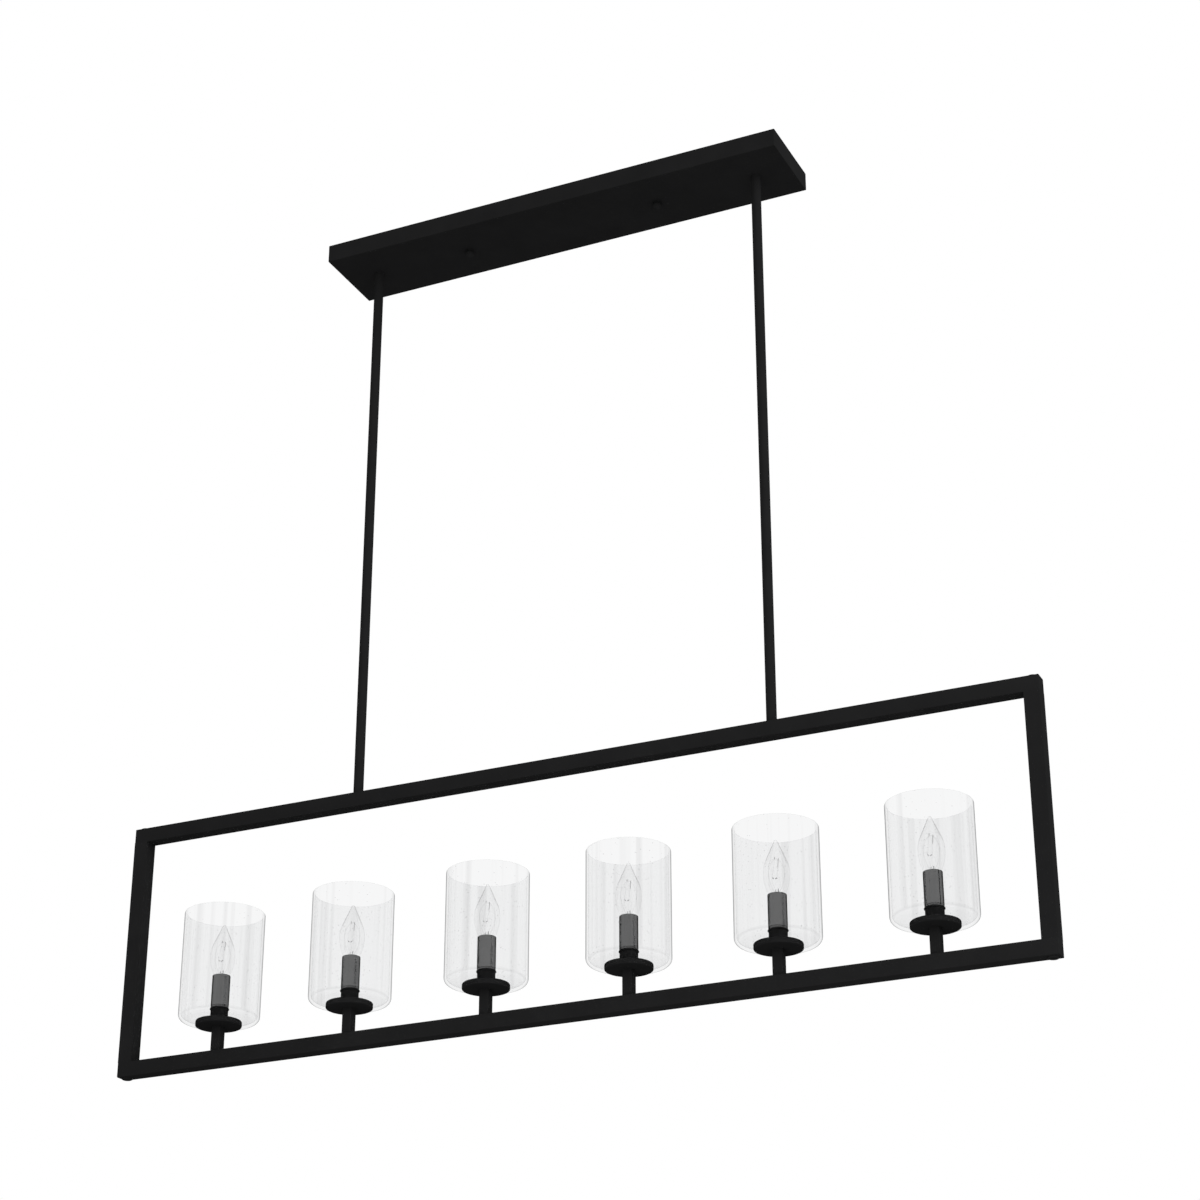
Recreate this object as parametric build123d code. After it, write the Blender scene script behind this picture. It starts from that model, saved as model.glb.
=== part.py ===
from build123d import *
import math
import os

# A linear pendant for a ceiling: a long canopy, two tube rods, a rectangle of square tube
# and six lamps that stand in a row on its bottom bar. Each lamp is a post, a holder dish,
# a socket, a glass cylinder with a floor, a ring nut, a candle sleeve and a torpedo bulb.
#
# Millimetres, Z up, X along the row. The origin is the centre of the mounting strap's top
# face, in the plane of the ceiling.

os.makedirs("parts", exist_ok=True)

# Canopy: a folded steel pan, open towards the ceiling
CANOPY_LENGTH = 660.0
CANOPY_WIDTH = 114.0
CANOPY_HEIGHT = 25.4
CANOPY_SHEET = 1.2
CANOPY_EDGE = 1.0

# Mounting strap, its box-screw slots and the two studs that carry the canopy
STRAP_LENGTH = 312.0
STRAP_WIDTH = 25.0
STRAP_THICKNESS = 2.0
STRAP_CORNER = 5.0
STRAP_WIRE_HOLE = 10.5
BOX_SLOT_SPACING = 79.0
BOX_SLOT_LENGTH = 20.0
BOX_SLOT_WIDTH = 4.8
STUD_SPACING = 280.0
STUD_DIAMETER = 4.0
STUD_COLLAR = 8.0
STUD_COLLAR_HEIGHT = 3.0
STUD_TOP_DROP = 0.4

# Knob nuts under the canopy
KNOB_DIAMETER = 12.0
KNOB_FOOT_DIAMETER = 9.0
KNOB_FOOT_HEIGHT = 1.6
KNOB_THREAD_DEPTH = 6.5

# Rods: tube with a threaded end piece brazed into each end
ROD_SPACING = 562.0
ROD_DIAMETER = 12.7
ROD_WALL = 1.0
ROD_LENGTH = 771.0
ROD_END_DEPTH = 14.0

# The lamp thread that the rods and the lamps share, with its hexagon nuts
THREAD_DIAMETER = 9.7
THREAD_BORE = 7.0
THREAD_STUB = 1.6
NUT_ACROSS_FLATS = 14.0
NUT_HEIGHT = 3.2

# Frame: two bars with closed ends, and two uprights between them
FRAME_LENGTH = 1219.2
FRAME_HEIGHT = 330.2
FRAME_TUBE = 19.05
FRAME_WALL = 1.2
FRAME_EDGE = 1.6

# Corner screws and the tapped plugs in the uprights' ends
SCREW_DIAMETER = 6.0
SCREW_HEAD_DIAMETER = 14.0
SCREW_HEAD_HEIGHT = 3.2
SCREW_HEAD_EDGE = 2.4
SCREW_SOCKET = 4.0
SCREW_SOCKET_DEPTH = 2.0
PLUG_LENGTH = 14.0
PLUG_EDGE = 0.8
WIRE_NOTCH_DEPTH = 4.4
WIRE_NOTCH_WIDTH = 7.0

# Lamps
LAMP_COUNT = 6
LAMP_END_DISTANCE = 140.6
POST_SIDE = 12.7
POST_WALL = 1.0
POST_EDGE = 1.4
POST_HEIGHT = 31.75
DISH_DIAMETER = 57.8
DISH_THICKNESS = 7.0
DISH_EDGE = 1.4

# Glass cylinder
SHADE_DIAMETER = 101.6
SHADE_HEIGHT = 140.0
SHADE_WALL = 3.0
SHADE_FLOOR = 4.0
SHADE_CORNER = 7.5
SHADE_RIM = 1.2

# Socket, ring nut and candle sleeve
SOCKET_THREAD = 18.0
SOCKET_BODY = 16.4
SOCKET_HEIGHT = 44.5
SOCKET_NIPPLE_DEPTH = 9.0
SCREW_SHELL_BORE = 12.0
SCREW_SHELL_WALL = 0.4
SCREW_SHELL_TOP_DROP = 1.0
SCREW_SHELL_FOOT_HEIGHT = 29.8
CONTACT_WELL = 9.0
CONTACT_PLATE = 8.4
CONTACT_PLATE_THICKNESS = 0.8
BULB_SEAT_HEIGHT = 27.8
RING_DIAMETER = 22.0
RING_HEIGHT = 12.4
RING_LIP_DIAMETER = 24.2
RING_LIP_HEIGHT = 2.4
RING_EDGE = 0.6
RING_SPIGOT_HEIGHT = 3.0
SLEEVE_DIAMETER = 22.6
SLEEVE_WALL = 1.0
SLEEVE_HEIGHT = 42.4
SLEEVE_EDGE = 0.9
SLEEVE_BEAD = 1.8
SLEEVE_GROOVE = 0.6
SLEEVE_GROOVE_DEPTH = 0.4

# Torpedo bulb: screw cap and blown envelope, all heights from the cap's contact
CAP_CONTACT_DIAMETER = 5.0
CAP_CONTACT_HEIGHT = 1.6
CAP_INSULATOR_HEIGHT = 2.0
CAP_SHELL_HEIGHT = 17.4
CAP_LIP_DIAMETER = 13.0
CAP_HEIGHT = 18.6
GLASS_NECK_DIAMETER = 12.4
GLASS_BELLY_DIAMETER = 31.2
GLASS_WALL = 0.8
NECK_ARC_RADIUS = 24.8
NECK_ARC_ANGLE = 28.0
SHOULDER_ARC_RADIUS = 40.0
SHOULDER_ARC_ANGLE = 23.5
TIP_RADIUS = 2.0

# The bulb's mount: a flared glass stem, with heights from the cap's top face
STEM_FLARE_DIAMETER = 9.8
STEM_DIAMETER = 4.4
STEM_HEIGHT = 18.4
STEM_EDGE = 1.2
MOUNT_WIRE_DIAMETER = 0.5
MOUNT_WIRE_BEND = 0.8
MOUNT_WIRE_SEAL = 5.0
LEAD_SPACING = 2.8
LEAD_BEND_HEIGHT = 20.0
FILAMENT_FOOT_HEIGHT = 33.0
FILAMENT_TOP_HEIGHT = 57.4
FILAMENT_FOOT_REACH = 4.6
FILAMENT_TOP_REACH = 2.2

# Wires and their connectors
WIRE_DIAMETER = 2.0
WIRE_PAIR_SPACING = 2.6
WIRE_BEND = 4.0
WIRE_LEAD = 5.0
WIRE_RISE = 9.0
WIRE_HOOK = 8.0
EARTH_WIRE_DIAMETER = 1.6
EYELET_DIAMETER = 15.0
EYELET_THICKNESS = 0.8
EYELET_TONGUE_REACH = 14.0
EYELET_TONGUE_WIDTH = 4.0
CONNECTOR_DIAMETER = 12.0
CONNECTOR_TIP_DIAMETER = 8.0
CONNECTOR_LENGTH = 22.0
CONNECTOR_SKIRT = 5.5
CONNECTOR_BORE = 7.0
CONNECTOR_BORE_DEPTH = 14.0
CONNECTOR_PITCH = 16.0
CONNECTOR_REACH = 30.0

# Clearances, each on the radius or on one side
THREAD_PLAY = 0.05
DRILL_PLAY = 0.25
SLIDE_PLAY = 0.05
CAP_PLAY = 0.08
SHELL_PLAY = 0.05
PLUG_PLAY = 0.1
SHADE_HOLE_PLAY = 0.8
NUT_TO_WIRE = 0.6

# How far a cutter runs past the face it opens
OVERRUN = 1.0

# Levels, counted down from the ceiling
CANOPY_UNDER = -CANOPY_HEIGHT
CANOPY_FLOOR = CANOPY_UNDER + CANOPY_SHEET
FRAME_TOP = CANOPY_UNDER - ROD_LENGTH
TOP_BAR_UNDER = FRAME_TOP - FRAME_TUBE
FRAME_BOTTOM = FRAME_TOP - FRAME_HEIGHT
BOTTOM_BAR_TOP = FRAME_BOTTOM + FRAME_TUBE
DISH_UNDER = BOTTOM_BAR_TOP + POST_HEIGHT
DISH_TOP = DISH_UNDER + DISH_THICKNESS
SHADE_FLOOR_TOP = DISH_TOP + SHADE_FLOOR
RING_SHOULDER = SHADE_FLOOR_TOP + RING_HEIGHT
BULB_CONTACT = DISH_TOP + BULB_SEAT_HEIGHT

# Places along and across the row
ROD_PLACES = [-ROD_SPACING / 2, ROD_SPACING / 2]
STUD_PLACES = [-STUD_SPACING / 2, STUD_SPACING / 2]
LAMP_PITCH = (FRAME_LENGTH - 2 * LAMP_END_DISTANCE) / (LAMP_COUNT - 1)
LAMP_PLACES = [(i - (LAMP_COUNT - 1) / 2) * LAMP_PITCH for i in range(LAMP_COUNT)]
UPRIGHT_PLACE = (FRAME_LENGTH - FRAME_TUBE) / 2
WIRE_SIDES = [-WIRE_PAIR_SPACING / 2, WIRE_PAIR_SPACING / 2]

# Radii that two pieces share
THREAD_RADIUS = THREAD_DIAMETER / 2
THREAD_HOLE = THREAD_RADIUS + DRILL_PLAY
STUD_HOLE = STUD_DIAMETER / 2 + DRILL_PLAY
SCREW_HOLE = SCREW_DIAMETER / 2 + DRILL_PLAY
NUT_CORNER = NUT_ACROSS_FLATS / 2 / math.cos(math.radians(30))
TUBE_BORE = FRAME_TUBE - 2 * FRAME_WALL
PLUG_SIDE = TUBE_BORE - 2 * PLUG_PLAY
SLEEVE_BORE = SLEEVE_DIAMETER / 2 - SLEEVE_WALL


def save(name, *solids):
    """Writes one node: a single solid, or a group of separate ones."""
    shape = solids[0] if len(solids) == 1 else Compound(children=list(solids))
    export_step(shape, f"parts/{name}.step")


def drill(x, radius, low, high):
    """A round cutter along Z between two levels."""
    return Pos(x, 0, (low + high) / 2) * Cylinder(radius, high - low)


def turned(points):
    """Turns a closed outline of (radius, height) points about Z."""
    return revolve(Plane.XZ * make_face(Polyline(*points, close=True)), Axis.Z)


def along(points, radius, bend):
    """A round wire through the points, with an arc at each turn."""
    path = FilletPolyline(*points, radius=bend)
    section = Plane(origin=path @ 0, z_dir=path % 0) * Circle(radius)
    return sweep(section, path)


# ---------------------------------------------------------------- canopy and its fixing

def canopy_pan():
    top = -CANOPY_HEIGHT / 2
    block = Pos(0, 0, top) * Box(CANOPY_LENGTH, CANOPY_WIDTH, CANOPY_HEIGHT)
    block = fillet(block.edges() - block.faces().sort_by(Axis.Z)[-1].edges(), CANOPY_EDGE)
    inside = Box(CANOPY_LENGTH - 2 * CANOPY_SHEET, CANOPY_WIDTH - 2 * CANOPY_SHEET, CANOPY_HEIGHT)
    pan = block - Pos(0, 0, top + CANOPY_SHEET) * inside
    for x in ROD_PLACES:
        pan -= drill(x, THREAD_HOLE, CANOPY_UNDER - OVERRUN, CANOPY_FLOOR + OVERRUN)
    for x in STUD_PLACES:
        pan -= drill(x, STUD_HOLE, CANOPY_UNDER - OVERRUN, CANOPY_FLOOR + OVERRUN)
    return pan


def mounting_strap():
    outline = RectangleRounded(STRAP_LENGTH, STRAP_WIDTH, STRAP_CORNER)
    for side in (-1, 1):
        outline -= Pos(side * BOX_SLOT_SPACING / 2, 0) * SlotOverall(BOX_SLOT_LENGTH, BOX_SLOT_WIDTH)
    outline -= Circle(STRAP_WIRE_HOLE / 2)
    for x in STUD_PLACES:
        outline -= Pos(x, 0) * Circle(STUD_DIAMETER / 2 + THREAD_PLAY)
    return extrude(outline, -STRAP_THICKNESS)


def canopy_stud(x):
    """Screwed up into the strap as far as its hexagon collar."""
    foot = CANOPY_UNDER - KNOB_THREAD_DEPTH
    shank = drill(x, STUD_DIAMETER / 2, foot, -STUD_TOP_DROP)
    collar_under = -STRAP_THICKNESS - STUD_COLLAR_HEIGHT
    flats = RegularPolygon(STUD_COLLAR / 2, 6, major_radius=False)
    return shank + Pos(x, 0, collar_under) * extrude(flats, STUD_COLLAR_HEIGHT)


def canopy_knob(x):
    """A ball nut on a narrow foot, with a blind thread for the stud."""
    head = KNOB_DIAMETER / 2
    foot = KNOB_FOOT_DIAMETER / 2
    centre = CANOPY_UNDER - KNOB_FOOT_HEIGHT - math.sqrt(head ** 2 - foot ** 2)
    blank = Pos(x, 0, centre) * Sphere(head) + drill(x, foot, centre, CANOPY_UNDER)
    bore = STUD_DIAMETER / 2 + THREAD_PLAY
    bore_end = CANOPY_UNDER - KNOB_THREAD_DEPTH - THREAD_PLAY
    return blank - drill(x, bore, bore_end, CANOPY_UNDER + OVERRUN)


# ---------------------------------------------------------------- rods and nuts

def rod(x, nut_drop):
    """The tube stands between canopy and frame, its threaded ends reach through both sheets."""
    tube = ROD_DIAMETER / 2
    bore = tube - ROD_WALL
    end = THREAD_RADIUS
    hole = THREAD_BORE / 2
    upper = CANOPY_FLOOR + nut_drop + NUT_HEIGHT + THREAD_STUB
    lower = FRAME_TOP - FRAME_WALL - NUT_HEIGHT - THREAD_STUB
    outline = [
        (hole, lower), (end, lower), (end, FRAME_TOP), (tube, FRAME_TOP),
        (tube, CANOPY_UNDER), (end, CANOPY_UNDER), (end, upper), (hole, upper),
        (hole, CANOPY_UNDER - ROD_END_DEPTH), (bore, CANOPY_UNDER - ROD_END_DEPTH),
        (bore, FRAME_TOP + ROD_END_DEPTH), (hole, FRAME_TOP + ROD_END_DEPTH),
    ]
    return Pos(x, 0, 0) * turned(outline)


def lock_nut(x, under):
    blank = extrude(RegularPolygon(NUT_ACROSS_FLATS / 2, 6, major_radius=False), NUT_HEIGHT)
    thread = drill(0, THREAD_RADIUS + THREAD_PLAY, -OVERRUN, NUT_HEIGHT + OVERRUN)
    return Pos(x, 0, under) * (blank - thread)


def lock_nuts():
    """On each rod inside the canopy and inside the top bar, and on each lamp's nipple."""
    nuts = [lock_nut(ROD_PLACES[0], CANOPY_FLOOR + EYELET_THICKNESS)]
    nuts += [lock_nut(ROD_PLACES[1], CANOPY_FLOOR)]
    nuts += [lock_nut(x, FRAME_TOP - FRAME_WALL - NUT_HEIGHT) for x in ROD_PLACES]
    nuts += [lock_nut(x, BOTTOM_BAR_TOP - FRAME_WALL - NUT_HEIGHT) for x in LAMP_PLACES]
    return nuts


# ---------------------------------------------------------------- frame

def wire_slot(side, low, high):
    """The cutter for the wires' way between a bar and an upright, on the window's side."""
    x = side * (UPRIGHT_PLACE - TUBE_BORE / 2 + WIRE_NOTCH_DEPTH / 2)
    return Pos(x, 0, (low + high) / 2) * Box(WIRE_NOTCH_DEPTH, WIRE_NOTCH_WIDTH, high - low)


def closed_bar(under):
    """A square tube along X with a plate welded in each end, drilled for the corner screws."""
    middle = under + FRAME_TUBE / 2
    section = Plane.YZ * RectangleRounded(FRAME_TUBE, FRAME_TUBE, FRAME_EDGE)
    outer = extrude(section, FRAME_LENGTH / 2, both=True)
    inner = Box(FRAME_LENGTH - 2 * FRAME_WALL, TUBE_BORE, TUBE_BORE)
    bar = Pos(0, 0, middle) * (outer - inner)
    for side in (-1, 1):
        bar -= drill(side * UPRIGHT_PLACE, SCREW_HOLE, under - OVERRUN, under + FRAME_TUBE + OVERRUN)
    return bar


def top_bar():
    bar = closed_bar(TOP_BAR_UNDER)
    for x in ROD_PLACES:
        bar -= drill(x, THREAD_HOLE, FRAME_TOP - FRAME_WALL - OVERRUN, FRAME_TOP + OVERRUN)
    return bar - wire_slot(-1, TOP_BAR_UNDER - OVERRUN, TOP_BAR_UNDER + FRAME_WALL + OVERRUN)


def bottom_bar():
    bar = closed_bar(FRAME_BOTTOM)
    for x in LAMP_PLACES:
        bar -= drill(x, THREAD_HOLE, BOTTOM_BAR_TOP - FRAME_WALL - OVERRUN, BOTTOM_BAR_TOP + OVERRUN)
    return bar - wire_slot(-1, BOTTOM_BAR_TOP - FRAME_WALL - OVERRUN, BOTTOM_BAR_TOP + OVERRUN)


def upright(side):
    length = TOP_BAR_UNDER - BOTTOM_BAR_TOP
    section = RectangleRounded(FRAME_TUBE, FRAME_TUBE, FRAME_EDGE) - Rectangle(TUBE_BORE, TUBE_BORE)
    return Pos(side * UPRIGHT_PLACE, 0, BOTTOM_BAR_TOP) * extrude(section, length)


def corner_plug(side, low):
    """A tapped block in an upright's end, notched for the wires on the window's side."""
    x = side * UPRIGHT_PLACE
    block = extrude(RectangleRounded(PLUG_SIDE, PLUG_SIDE, PLUG_EDGE), PLUG_LENGTH)
    under = low - OVERRUN
    over = low + PLUG_LENGTH + OVERRUN
    plug = Pos(x, 0, low) * block - drill(x, SCREW_DIAMETER / 2 + THREAD_PLAY, under, over)
    return plug - wire_slot(side, under, over)


def corner_screw(side, seat, up):
    """A low domed head with a hexagon socket. The shank crosses the bar and fills the plug."""
    head = drill(0, SCREW_HEAD_DIAMETER / 2, 0, SCREW_HEAD_HEIGHT)
    head = fillet(head.edges().group_by(Axis.Z)[-1], SCREW_HEAD_EDGE)
    shank = drill(0, SCREW_DIAMETER / 2, -FRAME_TUBE - PLUG_LENGTH, 0)
    key = extrude(RegularPolygon(SCREW_SOCKET / 2, 6, major_radius=False), SCREW_SOCKET_DEPTH)
    piece = head + shank - Pos(0, 0, SCREW_HEAD_HEIGHT - SCREW_SOCKET_DEPTH) * key
    turn = Rot(0, 0, 0) if up else Rot(180, 0, 0)
    return Pos(side * UPRIGHT_PLACE, 0, seat) * turn * piece


# ---------------------------------------------------------------- one lamp

def post(x):
    bore = POST_SIDE - 2 * POST_WALL
    section = RectangleRounded(POST_SIDE, POST_SIDE, POST_EDGE) - Rectangle(bore, bore)
    return Pos(x, 0, BOTTOM_BAR_TOP) * extrude(section, POST_HEIGHT)


def lamp_nipple(x):
    """The threaded tube that ties the bar, post, dish and socket together."""
    low = BOTTOM_BAR_TOP - FRAME_WALL - NUT_HEIGHT - THREAD_STUB
    high = DISH_TOP + SOCKET_NIPPLE_DEPTH - THREAD_STUB
    bore = drill(x, THREAD_BORE / 2, low - OVERRUN, high + OVERRUN)
    return drill(x, THREAD_RADIUS, low, high) - bore


def holder_dish(x):
    disc = drill(x, DISH_DIAMETER / 2, DISH_UNDER, DISH_TOP)
    disc = fillet(disc.edges().filter_by(GeomType.CIRCLE), DISH_EDGE)
    return disc - drill(x, THREAD_HOLE, DISH_UNDER - OVERRUN, DISH_TOP + OVERRUN)


def socket_body():
    """An insulating body: a threaded foot for the ring nut, a slim neck, and a bore with a well."""
    foot = SOCKET_THREAD / 2
    foot_height = SHADE_FLOOR + RING_HEIGHT + RING_SPIGOT_HEIGHT
    body = SOCKET_BODY / 2
    bore = SCREW_SHELL_BORE / 2 + SCREW_SHELL_WALL + SHELL_PLAY
    well = CONTACT_WELL / 2
    well_floor = BULB_SEAT_HEIGHT - CONTACT_PLATE_THICKNESS
    hole = THREAD_RADIUS + THREAD_PLAY
    outline = [
        (0, SOCKET_NIPPLE_DEPTH), (hole, SOCKET_NIPPLE_DEPTH), (hole, 0), (foot, 0),
        (foot, foot_height), (body, foot_height), (body, SOCKET_HEIGHT), (bore, SOCKET_HEIGHT),
        (bore, SCREW_SHELL_FOOT_HEIGHT), (well, SCREW_SHELL_FOOT_HEIGHT), (well, well_floor), (0, well_floor),
    ]
    return turned(outline)


def screw_shell():
    """The thin metal sleeve in the socket's bore that the bulb's cap screws into."""
    inner = SCREW_SHELL_BORE / 2
    outer = inner + SCREW_SHELL_WALL
    top = SOCKET_HEIGHT - SCREW_SHELL_TOP_DROP
    return drill(0, outer, SCREW_SHELL_FOOT_HEIGHT, top) - drill(0, inner, SCREW_SHELL_FOOT_HEIGHT, top)


def contact_plate():
    return drill(0, CONTACT_PLATE / 2, BULB_SEAT_HEIGHT - CONTACT_PLATE_THICKNESS, BULB_SEAT_HEIGHT)


def socket(x):
    return [Pos(x, 0, DISH_TOP) * piece for piece in (socket_body(), screw_shell(), contact_plate())]


def shade_ring(x):
    """The ring nut that holds the glass down, with a lip to grip. Its spigot centres the sleeve."""
    bore = SOCKET_THREAD / 2 + THREAD_PLAY
    skirt = RING_DIAMETER / 2
    lip = RING_LIP_DIAMETER / 2
    lip_foot = RING_HEIGHT - RING_LIP_HEIGHT
    spigot = SLEEVE_BORE - SLIDE_PLAY
    height = RING_HEIGHT + RING_SPIGOT_HEIGHT
    outline = [
        (bore, 0), (skirt, 0), (skirt, lip_foot), (lip, lip_foot + lip - skirt),
        (lip, RING_HEIGHT - RING_EDGE), (lip - RING_EDGE, RING_HEIGHT),
        (spigot, RING_HEIGHT), (spigot, height), (bore, height),
    ]
    return Pos(x, 0, SHADE_FLOOR_TOP) * turned(outline)


def glass_shade(x):
    """A blown cylinder, open at the top, with a rounded foot and a hole in its floor."""
    outer = SHADE_DIAMETER / 2
    inner = outer - SHADE_WALL
    hole = SOCKET_THREAD / 2 + SHADE_HOLE_PLAY
    inner_corner = SHADE_CORNER - SHADE_WALL
    with BuildPart() as shade:
        with BuildSketch(Plane.XZ):
            with BuildLine():
                Line((hole, 0), (outer - SHADE_CORNER, 0))
                JernArc((outer - SHADE_CORNER, 0), (1, 0), SHADE_CORNER, 90)
                Line((outer, SHADE_CORNER), (outer, SHADE_HEIGHT - SHADE_RIM))
                Polyline((outer, SHADE_HEIGHT - SHADE_RIM), (outer - SHADE_RIM, SHADE_HEIGHT),
                         (inner, SHADE_HEIGHT), (inner, SHADE_FLOOR + inner_corner))
                JernArc((inner, SHADE_FLOOR + inner_corner), (0, -1), inner_corner, -90)
                Polyline((inner - inner_corner, SHADE_FLOOR), (hole, SHADE_FLOOR), (hole, 0))
            make_face()
        revolve(axis=Axis.Z)
    return Pos(x, 0, DISH_TOP) * shade.part


def candle_sleeve(x):
    """A tube with a rounded upper edge, and a groove that sets off a bead at its foot."""
    outer = SLEEVE_DIAMETER / 2
    foot = RING_SHOULDER
    tube = drill(0, outer, foot, foot + SLEEVE_HEIGHT) - drill(0, SLEEVE_BORE, foot, foot + SLEEVE_HEIGHT)
    rim = tube.edges().filter_by(GeomType.CIRCLE).group_by(Axis.Z)[-1].sort_by(SortBy.RADIUS)[-1]
    tube = fillet(rim, SLEEVE_EDGE)
    low = foot + SLEEVE_BEAD
    high = low + SLEEVE_GROOVE
    groove = drill(0, outer + OVERRUN, low, high) - drill(0, outer - SLEEVE_GROOVE_DEPTH, low, high)
    return Pos(x, 0, 0) * (tube - groove)


def envelope_line(inset):
    """Half the bulb's outline, neck to tip, moved inwards by the inset. Its arcs run into each
    other: out from the neck, back to the belly, in at the shoulder, a straight taper, the tip."""
    neck = GLASS_NECK_DIAMETER / 2 - inset
    swing = 1 - math.cos(math.radians(NECK_ARC_ANGLE))
    belly_radius = (GLASS_BELLY_DIAMETER / 2 - GLASS_NECK_DIAMETER / 2) / swing - NECK_ARC_RADIUS
    lean = math.radians(SHOULDER_ARC_ANGLE)
    tip = TIP_RADIUS - inset
    flare = JernArc((neck, CAP_HEIGHT), (0, 1), NECK_ARC_RADIUS + inset, -NECK_ARC_ANGLE)
    belly = JernArc(flare @ 1, flare % 1, belly_radius - inset, NECK_ARC_ANGLE)
    shoulder = JernArc(belly @ 1, belly % 1, SHOULDER_ARC_RADIUS - inset, SHOULDER_ARC_ANGLE)
    start = shoulder @ 1
    run = (start.X - tip * math.cos(lean)) / math.tan(lean)
    taper = Line(start, (tip * math.cos(lean), start.Y + run))
    centre = start.Y + run - tip * math.sin(lean)
    half = (math.pi / 2 + lean) / 2
    middle = (tip * math.cos(half), centre + tip * math.sin(half))
    point = ThreePointArc(taper @ 1, middle, (0, centre + tip))
    return [flare, belly, shoulder, taper, point]


def bulb_envelope():
    """Thin glass, open only where it stands on the cap."""
    outer = envelope_line(0)
    inner = envelope_line(GLASS_WALL)
    joins = [Line(outer[-1] @ 1, inner[-1] @ 1), Line(inner[0] @ 0, outer[0] @ 0)]
    return revolve(Plane.XZ * make_face(outer + inner + joins), Axis.Z)


def bulb_cap():
    shell = SCREW_SHELL_BORE / 2 - CAP_PLAY
    contact = CAP_CONTACT_DIAMETER / 2
    lip = CAP_LIP_DIAMETER / 2
    shell_foot = CAP_CONTACT_HEIGHT + CAP_INSULATOR_HEIGHT
    outline = [
        (0, 0), (contact, 0), (contact, CAP_CONTACT_HEIGHT), (shell, shell_foot),
        (shell, CAP_SHELL_HEIGHT), (lip, CAP_SHELL_HEIGHT), (lip, CAP_HEIGHT), (0, CAP_HEIGHT),
    ]
    return turned(outline)


def mount_wire(points):
    radius = MOUNT_WIRE_DIAMETER / 2
    return along([(across, 0, CAP_HEIGHT + height) for across, height in points], radius, MOUNT_WIRE_BEND)


def bulb_mount():
    """A flared stem sealed round two leads, the filament's two legs and a rod that holds them up."""
    flare = STEM_FLARE_DIAMETER / 2
    tube = STEM_DIAMETER / 2
    top = CAP_HEIGHT + STEM_HEIGHT
    flare_arc = CenterArc((flare, CAP_HEIGHT + flare - tube), flare - tube, 180, 90)
    head_arc = CenterArc((tube - STEM_EDGE, top - STEM_EDGE), STEM_EDGE, 0, 90)
    sides = Polyline(flare_arc @ 0, head_arc @ 0)
    rest = Polyline(head_arc @ 1, (0, top), (0, CAP_HEIGHT), flare_arc @ 1)
    stem = revolve(Plane.XZ * make_face([flare_arc, sides, head_arc, rest]), Axis.Z)
    sealed = STEM_HEIGHT - MOUNT_WIRE_SEAL
    lead = LEAD_SPACING / 2
    loop = mount_wire([
        (-lead, sealed), (-lead, LEAD_BEND_HEIGHT), (-FILAMENT_FOOT_REACH, FILAMENT_FOOT_HEIGHT),
        (-FILAMENT_TOP_REACH, FILAMENT_TOP_HEIGHT), (FILAMENT_TOP_REACH, FILAMENT_TOP_HEIGHT),
        (FILAMENT_FOOT_REACH, FILAMENT_FOOT_HEIGHT), (lead, LEAD_BEND_HEIGHT), (lead, sealed),
    ])
    hanger = drill(0, MOUNT_WIRE_DIAMETER / 2, CAP_HEIGHT + sealed, CAP_HEIGHT + FILAMENT_TOP_HEIGHT)
    return stem + loop + hanger


def bulb(x):
    place = Pos(x, 0, BULB_CONTACT)
    return [place * bulb_cap(), place * bulb_envelope(), place * bulb_mount()]


# ---------------------------------------------------------------- wires

def wire_connector(y):
    """A twist-on cap that lies on the canopy's floor, its mouth towards the left rod."""
    wide = CONNECTOR_DIAMETER / 2
    tip = CONNECTOR_TIP_DIAMETER / 2
    bore = CONNECTOR_BORE / 2
    outline = [
        (bore, 0), (wide, 0), (wide, CONNECTOR_SKIRT), (tip, CONNECTOR_LENGTH), (0, CONNECTOR_LENGTH),
        (0, CONNECTOR_BORE_DEPTH), (bore, CONNECTOR_BORE_DEPTH),
    ]
    x = ROD_PLACES[0] + CONNECTOR_REACH
    return Pos(x, y, CANOPY_FLOOR + wide) * Rot(0, 90, 0) * turned(outline)


def supply_wire(y):
    """From its connector over the left rod's end, down the rod, through the top bar, the left
    upright and the bottom bar, with a branch up through each lamp's nipple to the socket."""
    radius = WIRE_DIAMETER / 2
    side = math.copysign(CONNECTOR_PITCH, y)
    rod_x = ROD_PLACES[0]
    mouth = rod_x + CONNECTOR_REACH
    bore_end = mouth + CONNECTOR_BORE_DEPTH
    axis = CANOPY_FLOOR + CONNECTOR_DIAMETER / 2
    over = axis + WIRE_RISE
    drop_x = -(UPRIGHT_PLACE - TUBE_BORE / 2 + WIRE_NOTCH_DEPTH / 2)
    upper_run = TOP_BAR_UNDER + FRAME_WALL + radius
    lower_run = FRAME_BOTTOM + FRAME_WALL + radius
    points = [
        (bore_end, side, axis), (mouth - WIRE_LEAD, side, axis), (rod_x + WIRE_HOOK, y, over),
        (rod_x, y, over), (rod_x, y, upper_run), (drop_x, y, upper_run), (drop_x, y, lower_run),
        (LAMP_PLACES[-1], y, lower_run),
    ]
    wire = along(points, radius, WIRE_BEND)
    for x in LAMP_PLACES:
        wire += Pos(0, y, 0) * drill(x, radius, lower_run, DISH_TOP + SOCKET_NIPPLE_DEPTH)
    return wire


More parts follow.
